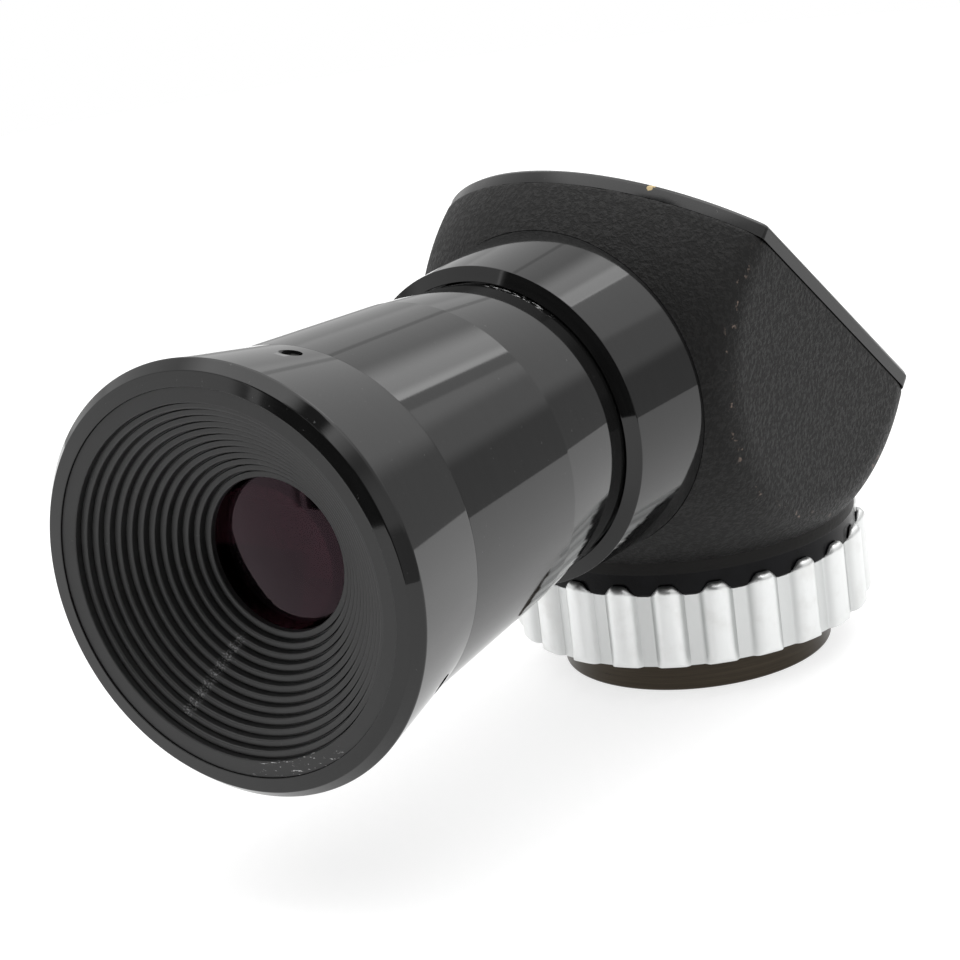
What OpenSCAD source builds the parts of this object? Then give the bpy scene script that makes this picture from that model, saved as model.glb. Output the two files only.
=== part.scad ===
// Right-angle viewing finder: a ball-shaped prism housing with a focusing eyepiece on one side
// and a captive coupling ring underneath.
// Z is the coupling's axis and the eyepiece looks along -Y. The origin is the centre of the
// sleeve's lower end. Lengths "out" are measured from the elbow, where the two axes cross:
// towards the eye for the eyepiece, and downwards for the coupling.

/* [Prism housing] */
// Radius of the ball that the housing is turned from
ball_r = 20.4; // [20.2:0.1:21]
// Half the width across the two side flats
flat_x = 15.1; // [14.8:0.1:15.6]
// Distance of the sloping cover's seat from the elbow
seat_out = 3; // [2.9:0.1:3.2]
// Thickness of the cover plate
plate_t = 1.3; // [1.1:0.1:1.6]
// Height of the eyepiece's axis above the sleeve's lower end
axis_h = 27; // [27:0.1:29]

/* [Collar and barrel] */
// Outer radius of the fixed collar
collar_r = 13.4; // [13.3:0.1:13.6]
// Distance out of the collar's front edge
collar_out = 24; // [23.8:0.1:24.2]
// Barrel radius where it leaves the collar
barrel_rear_r = 11.8; // [11.6:0.1:11.9]
// Barrel radius at the first kink of its outline
barrel_mid_r = 13.3; // [13.1:0.1:13.6]
// Distance out of that kink
barrel_mid_out = 33.6; // [32:0.2:35]
// Barrel radius where the bell begins
bell_rear_r = 15; // [14.6:0.1:15.2]
// Distance out of the bell's rear edge
bell_out = 49.2; // [48.8:0.1:49.6]

/* [Bell and baffle] */
// Largest radius of the bell
bell_r = 17.2; // [17:0.1:17.6]
// Distance out of the bell's front face
face_out = 60; // [60:0.1:60.6]
// Radius of the eye opening
eye_r = 6.1; // [5.8:0.1:6.4]
// Number of baffle ridges between the face and the eye opening
ridge_count = 12; // [10:1:13]

/* [Coupling] */
// Radius over the lobes of the coupling ring
ring_r = 14.7; // [14.6:0.1:15]
// Height of the coupling ring
ring_h = 7; // [6.8:0.1:7.2]
// Number of lobes round the coupling ring
lobe_count = 22; // [20:1:24]
// Radius of the sleeve that enters the host
sleeve_r = 11; // [10.9:0.1:11.1]

/* [Hidden] */
$fn = 96;
lens_fn = 300;
// Clearances: running fits, screwed joints in one body, and the overshoot of a cut
run = 0.05;
gap = 0.02;
eps = 1;
// Colours
wrinkle_black = [0.13, 0.13, 0.13];
gloss_black = [0.05, 0.05, 0.05];
satin_black = [0.17, 0.17, 0.17];
matte_black = [0.09, 0.09, 0.09];
glass_tint = [0.55, 0.5, 0.6];
steel = [0.6, 0.6, 0.6];
chrome = [0.85, 0.86, 0.87];
gunmetal = [0.25, 0.23, 0.2];

// Seats in the ball: a wide shoulder for the visible ring and a narrower threaded tail
tail_r = 12.4;
tail_out = 12.9;
collar_seat_out = 14.4;
neck_seat_out = 14.6;
light_bore_r = 9;

// Prism and its pocket
prism_leg_out = 9.2;
prism_half_w = 9.5;
prism_hyp_out = 0.9;
pocket_play = 0.1;
pad_t = 0.8;
clip_t = 0.4;
clip_half = [12, 4];
clip_screw_x = 10.9;
clip_screw_r = 0.75;
clip_head_r = 1.3;
clip_head_t = 0.7;
clip_screw_len = 4;

// Cover plate
plate_r = 20;
plate_chamfer = 0.3;
cover_screw_at = [12.2, 11.6];
cover_screw_r = 0.85;
cover_head_r = 1.7;
cover_screw_len = 5;

// Collar
collar_taper_out = 15.6;
collar_front_r = 13.2;
collar_lip_r = 12.05;
collar_lip_out = collar_out + 0.6;
collar_thread_out = 16.8;
carrier_flange_r = 10.5;
carrier_flange_out = 13.2;
thread_r = 11.2;
key_w = 1.5;
key_reach_r = 11.7;
key_out = 14.7;
focus_travel = 3;

// Lens carrier, with the lens cell at its front
carrier_r = 9.6;
carrier_front_r = 9.4;
barrel_start_out = 17;
barrel_shoulder_out = 27;
nut_out = 27.1;
nut_t = 1.8;
nut_r = 10.9;
cell_bore_r = 8.6;
cell_start_out = 33;
cell_lip_r = 7;
cell_lip_out = 52.4;
carrier_end_out = 52.9;
lens_r = 8.55;
crown_vertex_out = 52.9;
crown_front_R = 45;
cement_R = 20;
cement_out = 47.6;
flint_back_out = 45.8;
spacer_r = 7.6;
spacer_end_out = 41.25;
field_front_out = 42.4;
field_back_out = 36.2;
field_front_R = 25;
field_back_R = 40;
stop_r = 5.5;

// Barrel and bell
barrel_bore_r = 11.2;
spigot_r = 13.2;
spigot_out = 54.6;
bell_face_r = 15.3;
bell_edge_r = 16.5;
insert_seat_out = 58.9;
set_screw_out = 51.5;
set_screw_r = 0.8;
set_screw_turn = 82;
set_screw_recess = 0.4;

// Baffle insert
ridge_r = 14;
baffle_depth = 6.3;
insert_back_out = 53.15;
ridge_dr = (ridge_r - eye_r) / ridge_count;
ridge_du = baffle_depth / ridge_count;

// Coupling, with distances out from the elbow
neck_r = 13.9;
ring_top_out = axis_h - 3.2 - ring_h;
ring_recess = 1;
ring_recess_r = neck_r + 2 * run;
neck_face_out = ring_top_out + ring_recess - 0.1;
ring_end_out = ring_top_out + ring_h;
journal_r = 9.4;
lip_out = ring_top_out + 1.8;
neck_tube_r = 8.8;
neck_end_out = ring_end_out + 2.1;
ring_bore_r = 10.5;
neck_nut_r = 10.3;
objective_r = 7.9;
objective_seat_out = 20.3;
lobe_r = 1.35;
valley_r = ring_r - 0.95;
ring_chamfer = 0.35;
lobe_turn = -1;
washer_t = 0.25;

module at_elbow() {
    translate([0, 0, axis_h]) children();
}

// Local z runs out along the eyepiece, and local y is up.
module along_tube() {
    at_elbow() rotate([90, 0, 0]) children();
}

// Local z runs down along the coupling.
module along_coupling() {
    at_elbow() rotate([180, 0, 0]) children();
}

// Local z is the sloping cover's outward normal.
module at_cover() {
    at_elbow() rotate([-45, 0, 0]) children();
}

// A tube between two distances out.
module ring(outer, inner, from, to) {
    rotate_extrude()
        polygon([[inner, from], [outer, from], [outer, to], [inner, to]]);
}

module cut_bore(r, from, to) {
    translate([0, 0, from]) cylinder(r = r, h = to - from);
}

module four_corners(at) {
    for (sx = [-1, 1], sy = [-1, 1]) translate([sx * at[0], sy * at[1], 0]) children();
}

module two_sides(x) {
    for (sx = [-1, 1]) translate([sx * x, 0, 0]) children();
}

module below_cover(out) {
    at_cover()
        translate([-2 * ball_r, -2 * ball_r, out - 4 * ball_r]) cube(4 * ball_r);
}

module prism_housing() {
    pocket_half_w = prism_half_w + pocket_play;
    pocket_out = prism_leg_out + pocket_play;
    clip_seat = prism_hyp_out + pad_t;
    color(wrinkle_black) difference() {
        intersection() {
            at_elbow() sphere(r = ball_r);
            at_elbow() cube([2 * flat_x, 3 * ball_r, 3 * ball_r], center = true);
            below_cover(seat_out);
        }
        at_elbow() translate([-pocket_half_w, -pocket_out, -pocket_out])
            cube([2 * pocket_half_w, 2 * ball_r, 2 * ball_r]);
        at_cover() translate([-clip_half[0] - 0.3, -clip_half[1] - 0.3, clip_seat])
            cube([2 * clip_half[0] + 0.6, 2 * clip_half[1] + 0.6, ball_r]);
        at_cover() two_sides(clip_screw_x)
            cut_bore(clip_screw_r + gap, clip_seat - clip_screw_len - 0.2, seat_out);
        at_cover() four_corners(cover_screw_at)
            cut_bore(cover_screw_r + gap, seat_out - cover_screw_len, seat_out + eps);
        along_tube() {
            cut_bore(light_bore_r, 0, ball_r);
            cut_bore(tail_r + gap, tail_out, ball_r);
            cut_bore(collar_r + gap, collar_seat_out, ball_r);
        }
        along_coupling() {
            cut_bore(light_bore_r, 0, ball_r);
            cut_bore(tail_r + gap, tail_out, ball_r);
            cut_bore(neck_r + gap, neck_seat_out, ball_r);
        }
    }
}

module cover_plate() {
    top = seat_out + plate_t;
    c = plate_chamfer;
    color(gloss_black) at_cover() difference() {
        intersection() {
            rotate_extrude()
                polygon([[0, seat_out], [plate_r, seat_out], [plate_r, top - c],
                         [plate_r - c, top], [0, top]]);
            rotate([90, 0, 0]) linear_extrude(3 * ball_r, center = true)
                polygon([[-flat_x, seat_out], [flat_x, seat_out], [flat_x, top - c],
                         [flat_x - c, top], [c - flat_x, top], [-flat_x, top - c]]);
        }
        four_corners(cover_screw_at) cover_screw_solid(gap, eps);
    }
}

// One countersunk screw, grown by play all round and run on by extra above the plate.
module cover_screw_solid(play, extra) {
    top = seat_out + plate_t;
    cone_h = cover_head_r - cover_screw_r;
    rotate_extrude()
        polygon([[0, top - cover_screw_len], [cover_screw_r + play, top - cover_screw_len],
                 [cover_screw_r + play, top - cone_h], [cover_head_r + play, top],
                 [cover_head_r + play, top + extra], [0, top + extra]]);
}

module cover_screws() {
    top = seat_out + plate_t;
    cone_h = cover_head_r - cover_screw_r;
    below = 0.1;
    color(steel) at_cover() four_corners(cover_screw_at) difference() {
        rotate_extrude()
            polygon([[0, top - cover_screw_len], [cover_screw_r, top - cover_screw_len],
                     [cover_screw_r, top - cone_h],
                     [cover_head_r - below, top - below], [0, top - below]]);
        translate([0, 0, top]) cube([2 * cover_head_r + 1, 0.4, 1], center = true);
    }
}

module right_angle_prism() {
    leg = sqrt(2) * prism_hyp_out + 2 * prism_leg_out;
    nick = 0.4;
    color(glass_tint) at_elbow()
        translate([-prism_half_w, -prism_leg_out, -prism_leg_out])
            rotate([90, 0, 90]) linear_extrude(2 * prism_half_w)
                polygon([[0, 0], [leg - nick, 0], [leg - nick, nick],
                         [nick, leg - nick], [0, leg - nick]]);
}

module prism_pad() {
    color("sienna") at_cover()
        translate([-7, -3.5, prism_hyp_out]) cube([14, 7, pad_t]);
}

module prism_clip() {
    color("peru") at_cover() difference() {
        translate([-clip_half[0], -clip_half[1], prism_hyp_out + pad_t])
            cube([2 * clip_half[0], 2 * clip_half[1], clip_t]);
        two_sides(clip_screw_x) cut_bore(clip_screw_r + 0.1, 0, seat_out);
    }
}

module clip_screws() {
    seat = prism_hyp_out + pad_t + clip_t;
    color(steel) at_cover() two_sides(clip_screw_x) difference() {
        union() {
            cut_bore(clip_screw_r, seat - clip_screw_len, seat + eps / 2);
            cut_bore(clip_head_r, seat, seat + clip_head_t);
        }
        translate([0, 0, seat + clip_head_t]) cube([3, 0.35, 0.6], center = true);
    }
}

module front_collar() {
    bore = thread_r + run;
    rear_bore = carrier_flange_r + run;
    color(satin_black) along_tube() difference() {
        rotate_extrude()
            polygon([[rear_bore, tail_out], [tail_r, tail_out], [tail_r, collar_seat_out],
                     [collar_r, collar_seat_out], [collar_r, collar_taper_out],
                     [collar_front_r, collar_out],
                     [collar_lip_r, collar_lip_out], [collar_lip_r, collar_lip_out - 1.2],
                     [bore, collar_lip_out - 1.2], [bore, collar_thread_out],
                     [rear_bore, collar_thread_out]]);
        translate([-key_w / 2 - run, -key_reach_r - 0.15, tail_out - eps])
            cube([key_w + 2 * run, key_reach_r - 9, key_out + focus_travel + 2 - tail_out + eps]);
    }
}

module lens_carrier() {
    bore = cell_bore_r;
    color(matte_black) along_tube() difference() {
        rotate_extrude()
            polygon([[8.2, carrier_flange_out], [carrier_flange_r, carrier_flange_out],
                     [carrier_flange_r, barrel_start_out - 0.1],
                     [carrier_r, barrel_start_out - 0.1], [carrier_r, barrel_shoulder_out],
                     [carrier_front_r, barrel_shoulder_out], [carrier_front_r, carrier_end_out],
                     [cell_lip_r, carrier_end_out], [cell_lip_r, cell_lip_out],
                     [bore, cell_lip_out], [bore, cell_start_out], [8.2, cell_start_out]]);
        translate([0, 0, key_out]) rotate([90, 0, 0]) cut_bore(key_w / 2 + gap, 6, 12);
    }
}

module guide_screw() {
    color(steel) along_tube() translate([0, 0, key_out]) rotate([90, 0, 0]) difference() {
        cut_bore(key_w / 2, 8.3, key_reach_r);
        translate([0, 0, key_reach_r]) cube([0.3, 3, 0.5], center = true);
    }
}

// A sphere that bounds a lens on its eye side, with its highest point at vertex.
module eye_side(R, vertex) {
    translate([0, 0, vertex - R]) sphere(r = R, $fn = lens_fn);
}

// The same on the prism side, with its lowest point at vertex.
module prism_side(R, vertex) {
    translate([0, 0, vertex + R]) sphere(r = R, $fn = lens_fn);
}

module eye_crown() {
    color(glass_tint) along_tube() intersection() {
        cut_bore(lens_r, cement_out, crown_vertex_out);
        eye_side(crown_front_R, crown_vertex_out);
        prism_side(cement_R, cement_out);
    }
}

module eye_flint() {
    color(glass_tint) along_tube() difference() {
        cut_bore(lens_r, flint_back_out, cement_out + 1.8);
        prism_side(cement_R, cement_out - gap);
    }
}

module lens_spacer() {
    color(matte_black) along_tube() ring(lens_r, spacer_r, spacer_end_out, flint_back_out);
}

module field_lens() {
    color(glass_tint) along_tube() intersection() {
        cut_bore(lens_r, field_back_out, field_front_out);
        eye_side(field_front_R, field_front_out);
        prism_side(field_back_R, field_back_out);
    }
}

module lens_retainer() {
    color(matte_black) along_tube() difference() {
        ring(lens_r, 7.4, field_back_out - 1.3, field_back_out + 0.65);
        translate([0, 0, field_back_out - 1.3]) cube([20, 0.8, 1], center = true);
    }
}

module field_stop() {
    color(matte_black) along_tube() rotate_extrude()
        polygon([[stop_r, 31.6], [8.15, 31.6], [8.15, 32.6], [7, 32.6], [stop_r, 31.9]]);
}

module barrel_nut() {
    color(steel) along_tube() difference() {
        ring(nut_r, carrier_front_r + gap, nut_out, nut_out + nut_t);
        for (turn = [0, 90]) rotate([0, 0, turn])
            translate([0, 0, nut_out + nut_t]) cube([3 * nut_r, 1.2, 1.2], center = true);
    }
}

module focus_barrel() {
    bore = carrier_r + run;
    color(satin_black) along_tube() rotate_extrude()
        polygon([[bore, barrel_start_out], [thread_r, barrel_start_out],
                 [thread_r, collar_lip_out - 0.8], [barrel_rear_r, collar_lip_out - 0.8],
                 [barrel_mid_r, barrel_mid_out], [bell_rear_r, bell_out],
                 [spigot_r, bell_out], [spigot_r, spigot_out],
                 [barrel_bore_r, spigot_out], [barrel_bore_r, barrel_shoulder_out],
                 [bore, barrel_shoulder_out]]);
}

module eye_bell() {
    bore = spigot_r + gap;
    color(satin_black) along_tube() difference() {
        rotate_extrude()
            polygon([[bore, bell_out + gap], [bell_rear_r, bell_out + gap],
                     [bell_r, face_out - 1], [bell_edge_r, face_out - 0.05],
                     [bell_face_r, face_out + 0.15], [bell_face_r, insert_seat_out],
                     [14.2, insert_seat_out], [bore, 56]]);
        set_screw_places() cut_bore(set_screw_r, 12, bell_r);
    }
}

module set_screw_places() {
    for (turn = [0, 120, 240]) rotate([0, 0, set_screw_turn + turn])
        translate([0, 0, set_screw_out]) rotate([0, 90, 0]) children();
}

module bell_set_screws() {
    surface_r = bell_rear_r
        + (bell_r - bell_rear_r) * (set_screw_out - bell_out) / (face_out - 1 - bell_out);
    top = surface_r - set_screw_recess;
    color(steel) along_tube() set_screw_places() difference() {
        cut_bore(set_screw_r - gap, spigot_r + gap, top);
        translate([0, 0, top]) cube([3, 0.35, 0.8], center = true);
    }
}

// One ridge of the funnel: a groove, a flat tread and a rounded nose.
function ridge_points(i) =
    let (r = ridge_r - i * ridge_dr, u = face_out - (i + 1) * ridge_du)
    [[r, u - 0.12], [r - 0.1, u - 0.02], [r - ridge_dr / 2, u + 0.03],
     [r - ridge_dr + 0.12, u - 0.03], [r - ridge_dr, u - 0.18]];

module baffle_insert() {
    funnel = [for (i = [0 : ridge_count - 1], p = ridge_points(i)) p];
    color(matte_black) along_tube() rotate_extrude()
        polygon(concat([[bell_face_r - gap, insert_seat_out], [bell_face_r - gap, face_out],
                        [ridge_r, face_out]],
                       funnel,
                       [[eye_r, insert_back_out], [7.4, insert_back_out],
                        [13.4, insert_seat_out - 0.6], [13.4, insert_seat_out]]));
}

module swivel_neck() {
    seat = objective_seat_out;
    color(gloss_black) along_coupling() rotate_extrude()
        polygon([[8.2, tail_out], [tail_r, tail_out], [tail_r, neck_seat_out],
                 [neck_r, neck_seat_out], [neck_r, neck_face_out], [journal_r, neck_face_out],
                 [journal_r, lip_out + 0.08], [neck_tube_r, lip_out + 0.08],
                 [neck_tube_r, neck_end_out], [objective_r, neck_end_out], [objective_r, seat],
                 [7, seat], [7, seat - 1.3], [8.2, seat - 1.3]]);
}

module objective_crown() {
    color(glass_tint) along_coupling() intersection() {
        cut_bore(objective_r - run, 22, 24.9);
        eye_side(35, 24.9);
        prism_side(22, 22);
    }
}

module objective_flint() {
    color(glass_tint) along_coupling() difference() {
        cut_bore(objective_r - run, objective_seat_out, 23.4);
        prism_side(22, 22 - gap);
    }
}

module objective_retainer() {
    color(matte_black) along_coupling() difference() {
        ring(objective_r - gap, 6.7, 24.3, neck_end_out - 0.2);
        translate([0, 0, neck_end_out]) cube([20, 0.8, 1.2], center = true);
    }
}

module neck_nut() {
    color(steel) along_coupling() difference() {
        ring(neck_nut_r, neck_tube_r + gap, lip_out + washer_t + 0.1, lip_out + 1.8);
        for (turn = [0, 90]) rotate([0, 0, turn])
            translate([0, 0, lip_out + 1.8]) cube([3 * neck_nut_r, 1.2, 1], center = true);
    }
}

module friction_washer() {
    color("peru") along_coupling()
        ring(neck_nut_r, neck_tube_r + 0.1, lip_out + 0.09, lip_out + 0.09 + washer_t);
}

module coupling_ring() {
    c = ring_chamfer;
    top = ring_top_out;
    color(chrome) along_coupling() difference() {
        intersection() {
            union() {
                cut_bore(valley_r, top, ring_end_out);
                for (i = [0 : lobe_count - 1]) rotate([0, 0, lobe_turn + i * 360 / lobe_count])
                    translate([ring_r - lobe_r, 0, 0]) cut_bore(lobe_r, top, ring_end_out);
            }
            rotate_extrude()
                polygon([[0, top], [ring_r - c, top], [ring_r, top + c],
                         [ring_r, ring_end_out - 2 * c], [ring_r - 2 * c, ring_end_out],
                         [0, ring_end_out]]);
        }
        cut_bore(ring_recess_r, top - eps, top + ring_recess);
        cut_bore(journal_r + run, top - eps, ring_end_out);
        cut_bore(ring_bore_r, lip_out, ring_end_out + eps);
    }
}

module mount_sleeve() {
    color(gunmetal) along_coupling() rotate_extrude()
        polygon([[9.2, lip_out + 2.1], [ring_bore_r - gap, lip_out + 2.1],
                 [ring_bore_r - gap, ring_end_out + gap], [sleeve_r, ring_end_out + gap],
                 [sleeve_r, axis_h], [9.2, axis_h]]);
}

prism_housing();
cover_plate();
cover_screws();
right_angle_prism();
prism_pad();
prism_clip();
clip_screws();
front_collar();
swivel_neck();
objective_crown();
objective_flint();
objective_retainer();
neck_nut();
friction_washer();
coupling_ring();
mount_sleeve();
lens_carrier();
guide_screw();
eye_crown();
eye_flint();
lens_spacer();
field_lens();
lens_retainer();
field_stop();
barrel_nut();
focus_barrel();
eye_bell();
bell_set_screws();
baffle_insert();
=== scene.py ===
"""Right-angle viewing finder: the looks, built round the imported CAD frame.

Lengths are millimetres until they become mesh coordinates. The eyepiece looks along -Y and the
coupling hangs down along -Z; "out" is the distance from the elbow, where the two axes cross.
"""

import math

import bmesh
import bpy
import numpy as np
from mathutils import Matrix, Vector


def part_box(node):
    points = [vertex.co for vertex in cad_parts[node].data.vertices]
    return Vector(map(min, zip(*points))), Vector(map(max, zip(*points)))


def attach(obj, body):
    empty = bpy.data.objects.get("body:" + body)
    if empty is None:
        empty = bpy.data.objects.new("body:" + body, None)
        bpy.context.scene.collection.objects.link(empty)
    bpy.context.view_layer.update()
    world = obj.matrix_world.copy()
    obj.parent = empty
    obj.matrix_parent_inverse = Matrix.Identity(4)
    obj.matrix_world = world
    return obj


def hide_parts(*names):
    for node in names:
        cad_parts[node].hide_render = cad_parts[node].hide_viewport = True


MM = 0.001
TURN = 2 * math.pi

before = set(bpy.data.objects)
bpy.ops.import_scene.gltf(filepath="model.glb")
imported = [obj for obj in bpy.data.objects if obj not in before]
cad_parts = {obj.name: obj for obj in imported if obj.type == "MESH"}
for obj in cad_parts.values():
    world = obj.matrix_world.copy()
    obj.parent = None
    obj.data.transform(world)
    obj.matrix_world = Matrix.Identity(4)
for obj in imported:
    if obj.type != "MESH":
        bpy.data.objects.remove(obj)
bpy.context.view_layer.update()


# ---------------------------------------------------------------- places from the CAD

def mm_box(node):
    low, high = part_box(node)
    return [v / MM for v in low], [v / MM for v in high]


def tube_span(node):
    """How far out along the eyepiece a node starts and ends."""
    low, high = mm_box(node)
    return -high[1], -low[1]


def drop_span(node):
    """How far down from the elbow a node starts and ends."""
    low, high = mm_box(node)
    return ELBOW_Z - high[2], ELBOW_Z - low[2]


ELBOW_Z = (mm_box("front_collar")[0][2] + mm_box("front_collar")[1][2]) / 2
ELBOW = Vector((0, 0, ELBOW_Z))
COVER_NORMAL = Vector((0, 1, 1)).normalized()

COLLAR_R = mm_box("front_collar")[1][0]
COLLAR_REAR, COLLAR_FRONT = tube_span("front_collar")
BELL_R = mm_box("eye_bell")[1][0]
BELL_REAR, BELL_FRONT = tube_span("eye_bell")
RING_R = mm_box("coupling_ring")[1][0]
RING_TOP, RING_END = drop_span("coupling_ring")
SLEEVE_R = mm_box("mount_sleeve")[1][0]
NECK_R = mm_box("swivel_neck")[1][0]
FLAT_X = mm_box("prism_housing")[1][0]
BALL_R = 20.4

# The collar's and the neck's tails, which sit in the housing, and where their wider parts begin
TAIL_OUT = 12.9
TAIL_R = 12.4
COLLAR_SEAT = 14.4
NECK_SEAT = 14.6
SEAT_RUN = 0.03

# The sloping cover: where it sits, its thickness, its ends' radius and its screws
SEAT_OUT = 3
PLATE_T = 1.3
PLATE_TOP = SEAT_OUT + PLATE_T
PLATE_R = 20
COVER_SCREW_AT = (12.2, 11.6)
SLOPE = Matrix.Rotation(math.radians(-45), 3, "X")


# ---------------------------------------------------------------- mesh helpers

def along_tube(r, turn, out):
    """A point round the eyepiece's axis; turn 0 is +X and a quarter turn is up."""
    return Vector((r * math.cos(turn), -out, r * math.sin(turn))) + ELBOW


def along_drop(r, turn, out):
    """A point round the coupling's axis."""
    return Vector((r * math.cos(turn), r * math.sin(turn), -out)) + ELBOW


def rounded(profile, step=math.radians(9)):
    """The closed profile with each corner (r, out, fillet) turned into an arc."""
    points = []
    count = len(profile)
    for i, (r, out, fillet) in enumerate(profile):
        here = Vector((r, out))
        before = Vector(profile[i - 1][:2]) - here
        after = Vector(profile[(i + 1) % count][:2]) - here
        if not fillet:
            points.append(here)
            continue
        half = before.angle(after) / 2
        reach = fillet / math.tan(half)
        centre = here + (before.normalized() + after.normalized()).normalized() * fillet / math.sin(half)
        start = here + before.normalized() * reach - centre
        sweep = -before.normalized().angle_signed(-after.normalized())
        parts = max(2, math.ceil(abs(sweep) / step))
        for k in range(parts + 1):
            points.append(centre + Matrix.Rotation(sweep * k / parts, 2) @ start)
    return points


def supported(points, edge=0.06, longest=1.5):
    """Extra points near the ends of long straight runs, so that shading stays on the fillets."""
    dense = []
    for i, here in enumerate(points):
        there = points[(i + 1) % len(points)]
        run = (there - here).length
        dense.append(here)
        if run > 4 * edge:
            parts = max(1, round(run / longest))
            marks = [edge / run] + [k / parts for k in range(1, parts)] + [1 - edge / run]
            dense += [here.lerp(there, m) for m in marks]
    return dense


def mesh_object(name, verts, faces):
    mesh = bpy.data.meshes.new(name)
    mesh.from_pydata([v * MM for v in verts], [], faces)
    mesh.validate()
    obj = bpy.data.objects.new(name, mesh)
    bpy.context.scene.collection.objects.link(obj)
    work = bmesh.new()
    work.from_mesh(mesh)
    bmesh.ops.remove_doubles(work, verts=work.verts, dist=1e-7)
    bmesh.ops.recalc_face_normals(work, faces=work.faces)
    work.to_mesh(mesh)
    work.free()
    return obj


def turned(name, profile, place, steps=288, shape=None, plain=False):
    """A solid of revolution, or one whose points shape(r, turn, out) moves as they go round."""
    points = rounded(profile)
    if not plain:
        points = supported(points)
    verts = []
    for k in range(steps):
        turn = TURN * k / steps
        for p in points:
            r, out = shape(p.x, turn, p.y) if shape else (p.x, p.y)
            verts.append(place(max(r, 0), turn, out))
    count = len(points)
    faces = []
    for k in range(steps):
        a, b = k * count, (k + 1) % steps * count
        for i in range(count):
            j = (i + 1) % count
            if points[i].x > 1e-6 or points[j].x > 1e-6:
                faces.append((a + i, a + j, b + j, b + i))
    return mesh_object(name, verts, faces)


def block(name, low, high):
    """A box between two corners, for cutting with."""
    corners = [Vector((x, y, z)) for z in (low[2], high[2]) for y in (low[1], high[1])
               for x in (low[0], high[0])]
    faces = [(0, 1, 3, 2), (4, 6, 7, 5), (0, 4, 5, 1), (2, 3, 7, 6), (0, 2, 6, 4), (1, 5, 7, 3)]
    return mesh_object(name, corners, faces)


def bore(place, r, start, end, steps=192):
    """A plain round cutter."""
    return turned("cutter", [(0, start, 0), (r, start, 0), (r, end, 0), (0, end, 0)], place, steps)


def cut(obj, *cutters):
    """Takes the cutters' space out of obj and removes them."""
    for cutter in cutters:
        step = obj.modifiers.new("cut", "BOOLEAN")
        step.operation = "DIFFERENCE"
        step.solver = "MANIFOLD"
        step.object = cutter
    apply_modifiers(obj)
    for cutter in cutters:
        bpy.data.objects.remove(cutter)


def apply_modifiers(obj):
    graph = bpy.context.evaluated_depsgraph_get()
    mesh = bpy.data.meshes.new_from_object(obj.evaluated_get(graph))
    obj.modifiers.clear()
    old = obj.data
    obj.data = mesh
    mesh.name = obj.name
    bpy.data.meshes.remove(old)


def shade(obj, sharp=35):
    """Smooth shading that stops at real edges and follows the larger faces."""
    obj.data.shade_smooth()
    obj.data.set_sharp_from_angle(angle=math.radians(sharp))
    weigh_normals(obj)


def weigh_normals(obj):
    normals = obj.modifiers.new("normals", "WEIGHTED_NORMAL")
    normals.keep_sharp = True


def finish_piece(obj, slot, body, node):
    """Gives a new piece its finish, its body and the CAD node it stands for."""
    shade(obj)
    obj.data.materials.clear()
    obj.data.materials.append(FINISHES[slot])
    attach(obj, body)
    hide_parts(node)


# ---------------------------------------------------------------- material helpers

class Nodes:
    """Short calls for building a node tree."""

    def __init__(self, tree):
        self.tree = tree

    def node(self, kind, **values):
        """A node with its inputs or settings given by name."""
        made = self.tree.nodes.new(kind)
        for key, value in values.items():
            if key in made.inputs:
                made.inputs[key].default_value = value
            else:
                setattr(made, key, value)
        return made

    def link(self, source, target):
        self.tree.links.new(source, target)

    def ramp(self, source, start, end, low=0.0, high=1.0):
        """A smooth step from low to high while source goes from start to end."""
        made = self.node("ShaderNodeMapRange", interpolation_type="SMOOTHSTEP")
        for key, value in (("From Min", start), ("From Max", end), ("To Min", low), ("To Max", high)):
            made.inputs[key].default_value = value
        self.link(source, made.inputs["Value"])
        return made.outputs["Result"]

    def math(self, operation, *inputs):
        made = self.node("ShaderNodeMath", operation=operation)
        for socket, value in zip(made.inputs, inputs):
            if isinstance(value, (int, float)):
                socket.default_value = value
            else:
                self.link(value, socket)
        return made.outputs["Value"]

    def times(self, a, b):
        return self.math("MULTIPLY", a, b)

    def plus(self, a, b):
        return self.math("ADD", a, b)

    def minus(self, a, b):
        return self.math("SUBTRACT", a, b)


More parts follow.
